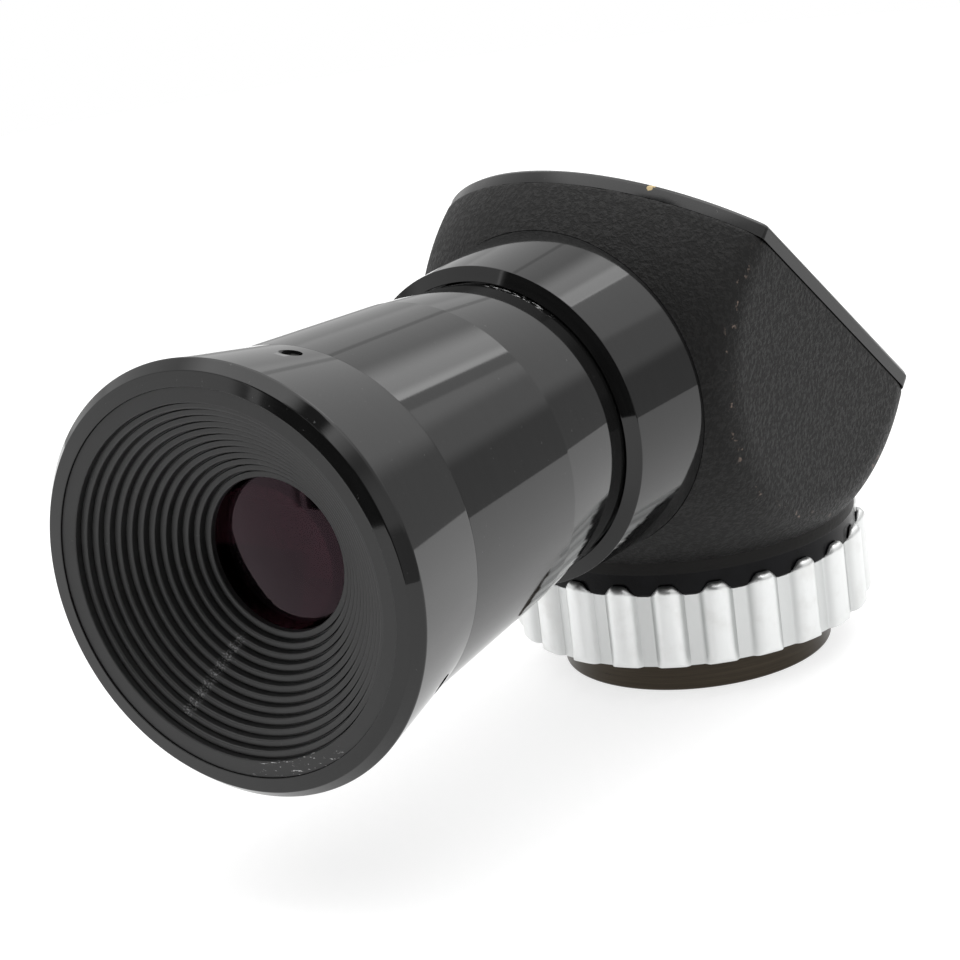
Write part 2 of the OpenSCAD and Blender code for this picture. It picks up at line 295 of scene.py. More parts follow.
class Finish(Nodes):
    """A node material in object coordinates, with short calls for what the finishes share."""

    def __init__(self, name, **settings):
        self.material = bpy.data.materials.new(name)
        self.material.use_nodes = True
        super().__init__(self.material.node_tree)
        self.shader = self.tree.nodes["Principled BSDF"]
        self.place = self.node("ShaderNodeTexCoord").outputs["Object"]
        self.set(**settings)

    def set(self, **settings):
        """Sets the shader's sockets, with _ for each space in a name."""
        for key, value in settings.items():
            self.shader.inputs[key.replace("_", " ")].default_value = value

    def scaled(self, scale, offset=(0, 0, 0)):
        """Object coordinates in millimetres, times scale."""
        step = self.node("ShaderNodeMapping")
        step.inputs["Scale"].default_value = [s / MM for s in scale]
        step.inputs["Location"].default_value = offset
        self.link(self.place, step.inputs["Vector"])
        return step.outputs["Vector"]

    def noise(self, scale, detail=2.0, rough=0.5, stretch=(1, 1, 1), offset=(0, 0, 0)):
        made = self.node("ShaderNodeTexNoise", Scale=scale, Detail=detail, Roughness=rough)
        self.link(self.scaled(stretch, offset), made.inputs["Vector"])
        return made.outputs["Fac"]

    def blend(self, factor, low, high):
        """A colour between two colours or sockets."""
        made = self.node("ShaderNodeMix", data_type="RGBA")
        self.link(factor, made.inputs["Factor"])
        for key, value in (("A", low), ("B", high)):
            socket = [s for s in made.inputs if s.name == key and s.type == "RGBA"][0]
            if isinstance(value, tuple):
                socket.default_value = (*value, 1)
            else:
                self.link(value, socket)
        return [s for s in made.outputs if s.type == "RGBA"][0]

    def colour(self, source):
        self.link(source, self.shader.inputs["Base Color"])

    def roughness(self, source):
        self.link(source, self.shader.inputs["Roughness"])

    def bump(self, height, distance):
        """Raises the surface by height times a distance in millimetres."""
        made = self.node("ShaderNodeBump", Strength=1.0, Distance=distance * MM)
        self.link(height, made.inputs["Height"])
        self.link(made.outputs["Normal"], self.shader.inputs["Normal"])

    def axes(self):
        """Object coordinates in millimetres, from the elbow."""
        step = self.node("ShaderNodeVectorMath", operation="MULTIPLY_ADD")
        self.link(self.place, step.inputs[0])
        step.inputs[1].default_value = [1 / MM] * 3
        step.inputs[2].default_value = [0, 0, -ELBOW_Z]
        parts = self.node("ShaderNodeSeparateXYZ")
        self.link(step.outputs["Vector"], parts.inputs["Vector"])
        return parts.outputs["X"], parts.outputs["Y"], parts.outputs["Z"]

    def radius(self, a, b):
        """The distance from an axis, given the two coordinates across it."""
        return self.math("SQRT", self.plus(self.times(a, a), self.times(b, b)))


def lathe_finish(name, base, rough, line_height, axial="Y", lines=6.0):
    """Turned metal: rings of fine tool marks round one axis, and a reflection drawn out across them."""
    stretch = {"Y": (0.02, 1, 0.02), "Z": (0.02, 0.02, 1)}[axial]
    f = Finish(name, Metallic=0.0, Anisotropic=0.3, Anisotropic_Rotation=0.25, Specular_IOR_Level=0.42)
    marks = f.noise(lines, 4, 0.7, stretch)
    cloud = f.noise(0.12, 3, 0.6)
    f.colour(f.blend(f.ramp(marks, 0.3, 0.7), tuple(0.8 * c for c in base), tuple(1.25 * c for c in base)))
    f.roughness(f.plus(f.ramp(cloud, 0.3, 0.7, rough * 0.9, rough * 1.12),
                       f.ramp(marks, 0.3, 0.7, -rough / 8, rough / 8)))
    tangent = f.node("ShaderNodeTangent", direction_type="RADIAL", axis=axial)
    f.link(tangent.outputs["Tangent"], f.shader.inputs["Tangent"])
    f.bump(marks, line_height)
    return f


def black_anodised(name):
    return lathe_finish(name, (0.006, 0.006, 0.006), 0.05, 0.0006)


# ---------------------------------------------------------------- materials

def barrel_anodised():
    """Black anodising with a few specks of dust and bare chips where the barrel leaves the collar."""
    f = black_anodised("barrel_anodised")
    x, y, z = f.axes()
    clean = f.shader.inputs["Base Color"].links[0].from_socket
    dust = f.ramp(f.noise(3.1, 2, 0.5, offset=(4, 8, 1)), 0.74, 0.77)
    top_right = f.times(f.ramp(z, 9.5, 11), f.ramp(x, 0.5, 1.5))
    near = f.times(f.ramp(y, -25.3, -24.9), top_right)
    chips = f.times(f.ramp(f.noise(1.6, 3, 0.7, (1, 2.5, 1), (1, 5, 3)), 0.56, 0.6), near)
    dusty = f.blend(f.times(dust, 0.5), clean, (0.12, 0.12, 0.12))
    f.colour(f.blend(chips, dusty, (0.5, 0.5, 0.5)))
    return f.material


def wrinkle_paint():
    """Black wrinkle paint, worn through here and there on the edges of the side flats."""
    f = Finish("wrinkle_paint", Roughness=0.55, Specular_IOR_Level=0.23)
    x, y, z = f.axes()
    coarse = f.noise(2.6, 3, 0.55)
    fine = f.noise(6, 3, 0.6)
    hills = f.plus(f.ramp(coarse, 0.35, 0.65), f.times(f.ramp(fine, 0.35, 0.65), 0.45))
    flat_r = math.sqrt(BALL_R ** 2 - FLAT_X ** 2)
    from_edge = f.math("ABSOLUTE", f.minus(f.radius(y, z), flat_r))
    edge = f.times(f.ramp(from_edge, 0.7, 0.15), f.ramp(f.math("ABSOLUTE", x), FLAT_X - 0.8, FLAT_X - 0.2))
    worn = f.times(f.ramp(f.noise(1.1, 4, 0.65, offset=(3, 1, 7)), 0.6, 0.66), edge)
    skin = f.blend(f.ramp(hills, 0.7, 1.3), (0.005, 0.0048, 0.0046), (0.01, 0.0097, 0.0094))
    f.colour(f.blend(worn, skin, (0.16, 0.12, 0.1)))
    f.roughness(f.ramp(hills, 0.3, 1.3, 0.58, 0.46))
    f.bump(hills, 0.03)
    return f.material


def cover_lacquer():
    """Smooth black lacquer with dust and one bare brass chip on the cover's upper edge."""
    chip_x, chip_up, chip_r = 7.25, 16.2, 0.85
    f = Finish("cover_lacquer", Roughness=0.3, Specular_IOR_Level=0.4)
    x, y, z = f.axes()
    marks = f.noise(7, 4, 0.7, (1, 0.05, 0.05))
    rim = f.ramp(f.radius(x, f.minus(y, z)), 19, 27)
    dust = f.ramp(f.noise(5, 2, 0.5, offset=(5, 2, 1)), 0.72, 0.76)
    skin = f.blend(dust, (0.007, 0.007, 0.007), (0.06, 0.058, 0.055))
    ragged = f.plus(f.radius(f.minus(x, chip_x), f.minus(z, chip_up)), f.noise(3))
    f.colour(f.blend(f.ramp(ragged, chip_r, chip_r - 0.1), skin, (0.5, 0.38, 0.18)))
    f.roughness(f.plus(f.ramp(marks, 0.3, 0.7, 0.13, 0.19), f.times(rim, 0.02)))
    f.bump(marks, 0.0015)
    return f.material


def neck_lacquer():
    """Gloss black, with the housing's rough paint running over the neck's upper end."""
    f = Finish("neck_lacquer", Roughness=0.16, Specular_IOR_Level=0.1)
    z = f.axes()[2]
    marks = f.noise(5, 3, 0.6, (0.03, 0.03, 1))
    painted = f.ramp(z, -15.95, -15.8)
    black = f.blend(f.ramp(f.noise(0.4, 3), 0.35, 0.65), (0.0025, 0.0025, 0.003), (0.005, 0.005, 0.006))
    f.colour(f.blend(painted, black, (0.013, 0.0125, 0.012)))
    grain = f.noise(2.6, 3, 0.55)
    f.roughness(f.plus(f.ramp(marks, 0.3, 0.7, 0.16, 0.25), f.times(painted, 0.3)))
    f.bump(f.times(painted, grain), 0.04)
    return f.material


def painted_ridge_glints(f, x, z):
    """A mask of painted highlight: light glints along one radial line across the funnel's ridges."""
    aim = math.radians(241)
    inner_r, outer_r, half_width = 7, 13.4, 0.6
    along = f.plus(f.times(x, math.cos(aim)), f.times(z, math.sin(aim)))
    across = f.minus(f.times(z, math.cos(aim)), f.times(x, math.sin(aim)))
    line = f.times(f.ramp(f.math("ABSOLUTE", across), half_width, 0.2), f.ramp(along, inner_r, inner_r + 1))
    # Broken into short glints along the line, as a reflected light would be
    specks = f.ramp(f.noise(6, 2, 0.5, offset=(1, 2, 3)), 0.5, 0.62)
    return f.times(line, f.times(f.ramp(along, outer_r, outer_r - 0.4), specks))


def matte_baffle():
    """Matte black with tool rings, dust, painted glints on the ridges and a scuff low on the front face."""
    f = Finish("matte_baffle", Roughness=0.5, Specular_IOR_Level=0.5)
    x, y, z = f.axes()
    marks = f.noise(9, 3, 0.6, (0.05, 1, 0.05))
    dust = f.ramp(f.noise(3.4, 3, 0.6, offset=(2, 0, 4)), 0.69, 0.75)
    face = f.ramp(y, -59.7, -59.95)
    scuff_lines = f.noise(3, 3, 0.7, (0.35, 1, 1.6), (1.5, 0, 2.2))
    low = f.times(f.ramp(z, -11.5, -13.2), f.ramp(x, -1, 2))
    scuff = f.times(f.times(f.ramp(scuff_lines, 0.6, 0.66), low), face)
    skin = f.blend(f.ramp(marks, 0.3, 0.7), (0.011, 0.011, 0.011), (0.018, 0.018, 0.018))
    dusty = f.blend(f.times(dust, 0.6), skin, (0.1, 0.1, 0.1))
    # Painted highlight: light grey glints along one line across the ridges, standing in for a reflected
    # light
    with_painted_glints = f.blend(painted_ridge_glints(f, x, z), dusty, (0.16, 0.16, 0.16))
    f.colour(f.blend(scuff, with_painted_glints, (0.55, 0.55, 0.55)))
    f.roughness(f.plus(f.ramp(marks, 0.3, 0.7, 0.36, 0.46), f.times(face, 0.1)))
    f.bump(marks, 0.0015)
    return f.material


def satin_chrome():
    """Satin chrome, with painted shade darkening it between the lobes."""
    f = Finish("satin_chrome", Metallic=1.0)
    marks = f.noise(6, 4, 0.6, (1, 1, 0.3))
    grime = f.ramp(f.noise(0.35, 4, 0.6), 0.45, 0.7)
    x, y = f.axes()[:2]
    # Painted shade: the colour darkens from the lobes' crests into the flutes between them
    unshaded_crest = f.ramp(f.radius(x, y), 13.75, 14.5)
    bright = f.blend(grime, (0.79, 0.8, 0.795), (0.73, 0.735, 0.725))
    f.colour(f.blend(unshaded_crest, (0.62, 0.63, 0.625), bright))
    f.roughness(f.ramp(marks, 0.3, 0.7, 0.36, 0.42))
    f.bump(marks, 0.0004)
    return f.material


def gunmetal():
    f = lathe_finish("gunmetal", (0.04, 0.031, 0.021), 0.34, 0.0015, "Z", 5)
    f.set(Metallic=0.7)
    return f.material


def coated_glass(name, tint, reflect):
    """Faintly dusty crown glass with a tinted reflection."""
    f = Finish(name, Roughness=0.02, IOR=1.52, Transmission_Weight=1.0, Specular_Tint=(*reflect, 1))
    dust = f.ramp(f.noise(2.2, 3, 0.6), 0.66, 0.8)
    f.colour(f.blend(dust, tint, tuple(0.75 * c for c in tint)))
    f.roughness(f.ramp(f.noise(0.8, 3, 0.6), 0.3, 0.7, 0.01, 0.05))
    return f.material


def plain_metal(name, low, high, rough, metallic=1.0):
    """A cloudy finish between two colours, for small parts."""
    f = Finish(name, Metallic=metallic)
    cloud = f.noise(3, 4, 0.6)
    f.colour(f.blend(f.ramp(cloud, 0.35, 0.65), low, high))
    f.roughness(f.ramp(f.noise(7.5, 3, 0.6), 0.3, 0.7, rough * 0.85, rough * 1.2))
    f.bump(cloud, 0.002)
    return f.material


def cork():
    f = Finish("cork", Roughness=0.9)
    grains = f.node("ShaderNodeTexVoronoi", Scale=2.2)
    f.link(f.scaled((1, 1, 1)), grains.inputs["Vector"])
    f.colour(f.blend(f.ramp(grains.outputs["Distance"], 0.1, 0.6), (0.16, 0.08, 0.035), (0.4, 0.24, 0.12)))
    f.bump(grains.outputs["Distance"], 0.08)
    return f.material


FINISHES = {
    "wrinkle_paint": wrinkle_paint(),
    "cover_lacquer": cover_lacquer(),
    "black_screw": plain_metal("black_screw", (0.012, 0.012, 0.012), (0.03, 0.029, 0.028), 0.35, 0.0),
    "prism_glass": coated_glass("prism_glass", (0.93, 0.95, 0.95), (0.8, 0.85, 1.0)),
    "cork": cork(),
    "spring_bronze": plain_metal("spring_bronze", (0.5, 0.3, 0.16), (0.62, 0.4, 0.24), 0.32),
    "steel_screw": plain_metal("steel_screw", (0.42, 0.42, 0.43), (0.6, 0.6, 0.61), 0.3),
    "collar_anodised": black_anodised("collar_anodised").material,
    "neck_lacquer": neck_lacquer(),
    "objective_glass": coated_glass("objective_glass", (0.8, 0.82, 0.86), (0.6, 0.6, 1.0)),
    "blackened_brass": plain_metal("blackened_brass", (0.012, 0.011, 0.01), (0.03, 0.026, 0.02), 0.5, 0.0),
    "plain_brass": plain_metal("plain_brass", (0.6, 0.42, 0.18), (0.75, 0.55, 0.26), 0.3),
    "satin_chrome": satin_chrome(),
    "gunmetal": gunmetal(),
    # The eye lenses' dark tint is painted shade, standing in for the dark inside of the finder behind them
    "eye_glass": coated_glass("eye_glass", (0.2, 0.1, 0.12), (0.34, 0.19, 0.25)),
    "barrel_anodised": barrel_anodised(),
    "matte_baffle": matte_baffle(),
}


# ---------------------------------------------------------------- ball housing and its cover

def smooth_max(a, b, k):
    """The larger of a and b, rounded over where they are within k of each other."""
    h = np.clip(0.5 + 0.5 * (a - b) / k, 0, 1)
    return b * (1 - h) + a * h + k * h * (1 - h)


def ball_skin(points):
    """Signed distance to the ball between its two flats and below the cover's seat."""
    edge_round = 1.1
    seat_round = 0.25
    normal = np.array(COVER_NORMAL)
    skin = np.linalg.norm(points, axis=1) - BALL_R
    for side in (-1, 1):
        skin = smooth_max(skin, side * points[:, 0] - FLAT_X, edge_round)
    return smooth_max(skin, points @ normal - SEAT_OUT, seat_round)


def ball_mesh(n=150):
    """A cube's lattice blown out from a point inside until it lies on the ball's skin."""
    lattice, faces = {}, []

    def key(axis, side, i, j):
        at = [0, 0, 0]
        at[axis], at[(axis + 1) % 3], at[(axis + 2) % 3] = side * n, i, j
        return lattice.setdefault(tuple(at), len(lattice))

    for axis in range(3):
        for side in (0, 1):
            for i in range(n):
                for j in range(n):
                    faces.append([key(axis, side, i, j), key(axis, side, i + 1, j),
                                  key(axis, side, i + 1, j + 1), key(axis, side, i, j + 1)])
    grid = np.array(list(lattice)) / n * 2 - 1
    away = np.tan(grid * math.pi / 4)
    away /= np.linalg.norm(away, axis=1)[:, None]
    inside = -5 * np.array(COVER_NORMAL)
    low, high = np.zeros(len(away)), np.full(len(away), 2.0 * BALL_R)
    for _ in range(40):
        middle = (low + high) / 2
        out = ball_skin(inside + away * middle[:, None]) > 0
        high[out], low[~out] = middle[out], middle[~out]
    points = inside + away * low[:, None]
    return mesh_object("ball_housing", [Vector(p) + ELBOW for p in points], faces)


housing = ball_mesh()
past = 2 * BALL_R
prism_leg, prism_half_w = 9.3, 9.6
cut(housing, block("cutter", (-prism_half_w, -prism_leg, ELBOW_Z - prism_leg),
                   (prism_half_w, past, ELBOW_Z + past)))
light_r, light_from = 9, 5
cut(housing, bore(along_tube, light_r, light_from, past), bore(along_drop, light_r, light_from, past))
tail_hole_r = TAIL_R + 0.02
cut(housing, bore(along_tube, tail_hole_r, TAIL_OUT, past), bore(along_drop, tail_hole_r, TAIL_OUT, past))
cut(housing, bore(along_tube, COLLAR_R + SEAT_RUN, COLLAR_SEAT, past),
    bore(along_drop, NECK_R + SEAT_RUN, NECK_SEAT, past))
finish_piece(housing, "wrinkle_paint", "housing", "prism_housing")


def cover_outline(corner=0.9, arc_steps=120):
    """The plate's outline as (x, along the slope) points, with round ends and rounded corners."""
    inner_x, inner_r = FLAT_X - corner, PLATE_R - corner
    corner_y = math.sqrt(inner_r ** 2 - inner_x ** 2)
    aim = math.atan2(corner_y, inner_x)
    outline = []
    for half in range(2):
        spin = half * math.pi
        for centre, start, end, r, steps in (
                ((0, 0), aim, math.pi - aim, PLATE_R, arc_steps),
                ((-inner_x, corner_y), math.pi - aim, math.pi, corner, 12),
                ((-inner_x, -corner_y), math.pi, math.pi + aim, corner, 12)):
            for k in range(steps + 1):
                a = start + (end - start) * k / steps
                x, y = centre[0] + r * math.cos(a), centre[1] + r * math.sin(a)
                outline.append((x * math.cos(spin) - y * math.sin(spin),
                                x * math.sin(spin) + y * math.cos(spin)))
    return outline


def cover_plate():
    """The plate, lofted through its edge's levels, each (inset, out), and closed by two fans."""
    chamfer = 0.3
    levels = [(0.02, SEAT_OUT), (0, SEAT_OUT + 0.02), (0, PLATE_TOP - chamfer - 0.1),
              (0.03, PLATE_TOP - chamfer), (chamfer - 0.03, PLATE_TOP - 0.05), (chamfer + 0.1, PLATE_TOP)]
    outline = [Vector(p) for p in cover_outline()]
    outline = [p for i, p in enumerate(outline) if (p - outline[i - 1]).length > 1e-4]
    count = len(outline)
    verts, faces = [], []
    for inset, out in levels:
        for p in outline:
            q = p - p.normalized() * inset
            verts.append(SLOPE @ Vector((q.x, q.y, out)) + ELBOW)
    for level in range(len(levels) - 1):
        for i in range(count):
            j = (i + 1) % count
            a = level * count
            faces.append((a + i, a + j, a + count + j, a + count + i))
    for level, out in ((0, SEAT_OUT), (len(levels) - 1, PLATE_TOP)):
        centre = len(verts)
        verts.append(SLOPE @ Vector((0, 0, out)) + ELBOW)
        for i in range(count):
            faces.append((level * count + i, level * count + (i + 1) % count, centre))
    return mesh_object("cover_plate", verts, faces)


def at_cover_screw(sx, sy):
    """Puts a turned shape round one cover screw's own axis."""
    def place(r, turn, out):
        x, y = sx * COVER_SCREW_AT[0], sy * COVER_SCREW_AT[1]
        return SLOPE @ Vector((x + r * math.cos(turn), y + r * math.sin(turn), out)) + ELBOW
    return place


def cover_screw(place, shank=0.85, head=1.6, below=0.1, length=5):
    """A countersunk screw with a softened head, its top a little below the plate's."""
    top = PLATE_TOP - below
    end = PLATE_TOP - length
    profile = [(0, end, 0), (shank, end, 0), (shank, top - head + shank, 0), (head, top, 0.04), (0, top, 0)]
    return turned("screw", profile, place, 64)


def countersink(place, shank=0.87, depth=0.85, above=0.5):
    """The hole that a cover screw sits in, widening at 45 degrees."""
    mouth = shank + depth
    profile = [(0, 0, 0), (shank, 0, 0), (shank, PLATE_TOP - depth, 0), (mouth, PLATE_TOP, 0),
               (mouth + above, PLATE_TOP + above, 0), (0, PLATE_TOP + above, 0)]
    return turned("cutter", profile, place, 64)


plate = cover_plate()
CORNERS = [(sx, sy) for sx in (-1, 1) for sy in (-1, 1)]
cut(plate, *[countersink(at_cover_screw(*corner)) for corner in CORNERS])
finish_piece(plate, "cover_lacquer", "housing", "cover_plate")


def joined(name, parts):
    """One object from several."""
    work = bmesh.new()
    for part in parts:
        work.from_mesh(part.data)
        bpy.data.objects.remove(part)
    mesh = bpy.data.meshes.new(name)
    work.to_mesh(mesh)
    work.free()
    obj = bpy.data.objects.new(name, mesh)
    bpy.context.scene.collection.objects.link(obj)
    return obj


def slot_cutter(place, angle, half_length, half_width, start, end):
    """A screwdriver slot across a screw, in the place's own turn and out."""
    verts = []
    for out in (start, end):
        for x, y in ((-1, -1), (1, -1), (1, 1), (-1, 1)):
            px, py = x * half_length, y * half_width
            verts.append(place(math.hypot(px, py), math.atan2(py, px) + angle, out))
    faces = [(0, 1, 2, 3), (4, 7, 6, 5), (0, 4, 5, 1), (1, 5, 6, 2), (2, 6, 7, 3), (3, 7, 4, 0)]
    return mesh_object("cutter", verts, faces)


screws = []
for n, corner in enumerate(CORNERS):
    place = at_cover_screw(*corner)
    screw = cover_screw(place)
    cut(screw, slot_cutter(place, 0.5 + 1.3 * n, 2.2, 0.2, PLATE_TOP - 0.5, PLATE_TOP + 0.2))
    screws.append(screw)
finish_piece(joined("cover_screws", screws), "black_screw", "housing", "cover_screws")


# ---------------------------------------------------------------- collar and barrel

collar_bore_r, collar_rear_bore_r, collar_thread_out = 11.25, 10.55, 16.8
collar_front_r, collar_lip_r, collar_lip_depth = 13.2, 12.05, 1.2
collar_taper_out = 15.6
collar_edge_out = COLLAR_FRONT - 0.6
lip_floor = COLLAR_FRONT - collar_lip_depth
collar = turned("front_collar", [
    (collar_rear_bore_r, COLLAR_REAR, 0), (TAIL_R, COLLAR_REAR, 0), (TAIL_R, COLLAR_SEAT, 0),
    (COLLAR_R, COLLAR_SEAT, 0), (COLLAR_R, collar_taper_out, 0), (collar_front_r, collar_edge_out, 0.06),
    (collar_lip_r, COLLAR_FRONT, 0.06), (collar_lip_r, lip_floor, 0), (collar_bore_r, lip_floor, 0),
    (collar_bore_r, collar_thread_out, 0), (collar_rear_bore_r, collar_thread_out, 0)], along_tube)
finish_piece(collar, "collar_anodised", "housing", "front_collar")

# The barrel ends in a spigot that the bell slips over
BELL_SEAM_R = 15
SPIGOT_R = 13.2
barrel_start, barrel_thread_r = 17, 11.2
barrel_rear_bore_r, barrel_bore_r, barrel_inner_shoulder = 9.65, 11.2, 27
barrel_rear_r, barrel_rear_out = 11.8, COLLAR_FRONT - 0.8
barrel_mid_r, barrel_mid_out = 13.3, 33.6
barrel_front = BELL_REAR - 0.01
spigot_end = 54.6
barrel = turned("focus_barrel", [
    (barrel_rear_bore_r, barrel_start, 0), (barrel_thread_r, barrel_start, 0.1),
    (barrel_thread_r, barrel_rear_out, 0), (barrel_rear_r, barrel_rear_out, 0.05),
    (barrel_mid_r, barrel_mid_out, 0), (BELL_SEAM_R, barrel_front, 0.015), (SPIGOT_R, barrel_front, 0),
    (SPIGOT_R, spigot_end, 0.1), (barrel_bore_r, spigot_end, 0), (barrel_bore_r, barrel_inner_shoulder, 0),
    (barrel_rear_bore_r, barrel_inner_shoulder, 0)], along_tube)
finish_piece(barrel, "barrel_anodised", "barrel", "focus_barrel")

SCREW_TURNS = [math.radians(82 + 120 * k) for k in range(3)]
SCREW_OUT = 51.5


def at_set_screw(turn):
    """Puts a turned shape round a set screw's axis, which points away from the barrel."""
    def place(r, spin, out):
        across = Vector((-math.sin(turn), 0, math.cos(turn)))
        away = Vector((math.cos(turn), 0, math.sin(turn)))
        along = Vector((0, -1, 0))
        centre = ELBOW + along * SCREW_OUT + away * out
        return centre + across * r * math.cos(spin) + along * r * math.sin(spin)
    return place


# The bell: its bore on the spigot, the seat for the insert, and the gloss rim round its front
BELL_BORE_R = 13.22
INSERT_SEAT = 58.9
INSERT_SEAT_R = 15.3
rim_out = 59
rim_front_r, rim_front_out = 16.5, 59.95
ledge_r, bore_end = 14.2, 56
bell = turned("eye_bell", [
    (BELL_BORE_R, BELL_REAR, 0), (BELL_SEAM_R, BELL_REAR, 0.015), (BELL_R + 0.02, rim_out, 0.25),
    (rim_front_r, rim_front_out, 0.12), (INSERT_SEAT_R, BELL_FRONT, 0.05), (INSERT_SEAT_R, INSERT_SEAT, 0),
    (ledge_r, INSERT_SEAT, 0), (BELL_BORE_R, bore_end, 0)], along_tube)
seam_out = 49.2
bell_slope = (BELL_R - BELL_SEAM_R) / (rim_out - seam_out)
surface_r = BELL_SEAM_R + bell_slope * (SCREW_OUT - seam_out)


def screw_hole(place, hole_r=0.8, start=12, chamfer=0.7):
    """A set screw's hole with a chamfered mouth at the bell's surface."""
    mouth = surface_r - 0.1
    profile = [(0, start, 0), (hole_r, start, 0), (hole_r, mouth, 0),
               (hole_r + chamfer, mouth + chamfer, 0), (0, mouth + chamfer, 0)]
    return turned("cutter", profile, place, 64)


cut(bell, *[screw_hole(at_set_screw(turn)) for turn in SCREW_TURNS])
finish_piece(bell, "barrel_anodised", "barrel", "eye_bell")

set_screws = []
for n, turn in enumerate(SCREW_TURNS):
    place = at_set_screw(turn)
    screw_r, top = 0.78, surface_r - 0.4
    profile = [(0, BELL_BORE_R, 0), (screw_r, BELL_BORE_R, 0), (screw_r, top, 0.1), (0, top, 0)]
    screw = turned("screw", profile, place, 48)
    cut(screw, slot_cutter(place, 0.4 + n, 1.2, 0.17, top - 0.4, top + 0.3))
    set_screws.append(screw)
finish_piece(joined("bell_set_screws", set_screws), "black_screw", "barrel", "bell_set_screws")


def funnel_profile(ridges=12, start_r=14.0, end_r=6.1, face=60.0, depth=6.3):
    """The insert's face and its stepped funnel, each step with a rounded nose over a dark groove."""
    insert_r = INSERT_SEAT_R - 0.02
    groove_depth, groove_w, nose = 0.16, 0.13, 0.02
    back, back_r, flange_r, flange_rear = 53.15, 7.4, 13.4, 58.3
    dr, du = (start_r - end_r) / ridges, depth / ridges
    profile = [(insert_r, INSERT_SEAT, 0), (insert_r, face, 0.03), (start_r, face, 0.1)]
    for i in range(ridges):
        r, out = start_r - i * dr, face - (i + 1) * du
        profile += [(r, out - groove_depth, 0.04), (r - groove_w, out - groove_depth, 0.04),
                    (r - groove_w, out + nose, 0.05), (r - dr + nose, out + nose, 0.16)]
    profile[-1] = (end_r, face - depth + nose, 0.12)
    return profile + [(end_r, back, 0), (back_r, back, 0), (flange_r, flange_rear, 0),
                      (flange_r, INSERT_SEAT, 0)]


insert = turned("baffle_insert", funnel_profile(), along_tube)
finish_piece(insert, "matte_baffle", "barrel", "baffle_insert")


# ---------------------------------------------------------------- lenses

def lens_profile(r, front, front_curve, back, back_curve, edge=0.12, steps=32):
    """A lens between two spherical faces, as (r, out); a positive curve's rim lies nearer the elbow."""
    def face(vertex, curve, at):
        bend = abs(curve) - math.sqrt(curve * curve - at * at)
        return vertex - bend if curve > 0 else vertex + bend
    across = [r * k / steps for k in range(1, steps)]
    profile = [(0, front, 0)] + [(a, face(front, front_curve, a), 0) for a in across]
    profile += [(r, face(front, front_curve, r), edge), (r, face(back, back_curve, r), edge)]
    profile += [(a, face(back, back_curve, a), 0) for a in reversed(across)] + [(0, back, 0)]
    return profile


def lens(node, profile, place, slot, body):
    """A lens whose smooth shading follows its many narrow faces evenly."""
    obj = turned(node, profile, place, 192, plain=True)
    finish_piece(obj, slot, body, node)
    obj.modifiers.clear()


FLAT = 1e6
EYE_R, FIELD_R, OBJECTIVE_R = 8.55, 8.5, 7.85
lens("eye_crown", lens_profile(EYE_R, 52.9, 45, 47.6, -20), along_tube, "eye_glass", "carrier")
lens("eye_flint", lens_profile(EYE_R, 47.58, -20, 45.8, FLAT), along_tube, "eye_glass", "carrier")
lens("field_lens", lens_profile(FIELD_R, 42.4, 25, 36.2, -40), along_tube, "eye_glass", "carrier")
lens("objective_crown", lens_profile(OBJECTIVE_R, 24.9, 35, 22, -22), along_drop, "objective_glass",
     "housing")
lens("objective_flint", lens_profile(OBJECTIVE_R, 21.98, -22, 20.3, FLAT), along_drop, "objective_glass",
     "housing")


# ---------------------------------------------------------------- neck, coupling ring and sleeve

RING_RECESS = 1.0
RECESS_R = NECK_R + 0.1
LOBES = 22
LOBE_TURN = math.radians(1)
LOBE_R = 1.35
VALLEY_R = RING_R - 0.95

neck_bore_r, neck_step_out, objective_seat = 8.2, 19, 20.3
light_hole_r, objective_hole_r = 7, 7.9
neck_face = RING_TOP + RING_RECESS - 0.1
ring_journal_r, journal_end = 9.4, 18.68
neck_tube_r, neck_end = 8.8, 25.9
neck = turned("swivel_neck", [
    (neck_bore_r, TAIL_OUT, 0), (TAIL_R, TAIL_OUT, 0), (TAIL_R, NECK_SEAT, 0), (NECK_R, NECK_SEAT, 0),
    (NECK_R, neck_face, 0.12), (ring_journal_r, neck_face, 0), (ring_journal_r, journal_end, 0),
    (neck_tube_r, journal_end, 0), (neck_tube_r, neck_end, 0.12), (objective_hole_r, neck_end, 0.1),
    (objective_hole_r, objective_seat, 0), (light_hole_r, objective_seat, 0),
    (light_hole_r, neck_step_out, 0), (neck_bore_r, neck_step_out, 0)], along_drop)
finish_piece(neck, "neck_lacquer", "housing", "swivel_neck")


def between(value, low=0, high=1):
    return min(max(value, low), high)


def lobed(r, turn, out):
    """Pulls the ring's outside in between its lobes and rounds off the lobes' tops."""
    if r < VALLEY_R - 0.6:
        return r, out
    pitch = TURN / LOBES
    off = (turn - LOBE_TURN + pitch / 2) % pitch - pitch / 2
    centre = RING_R - LOBE_R
    across = centre * math.sin(off)
    lobe = 0
    if abs(across) < LOBE_R:
        lobe = centre * math.cos(off) + math.sqrt(LOBE_R ** 2 - across ** 2)
    outline = min(float(smooth_max(lobe, VALLEY_R, 0.35)), RING_R)
    if out < RING_TOP + RING_RECESS + 0.001:
        inner = min(RECESS_R, outline - 0.12)
        if r <= RECESS_R:
            r += inner - RECESS_R
        else:
            r = inner + (r - RECESS_R) / (RING_R - RECESS_R) * (outline - inner)
        t = between((abs(off) / (pitch / 2) - 0.2) / 0.6)
        drop = (RING_RECESS - 0.03) * t * t * (3 - 2 * t)
        return r, out + drop * (1 - (out - RING_TOP) / RING_RECESS)
    return min(-float(smooth_max(-r, -outline, 0.15)), r), out


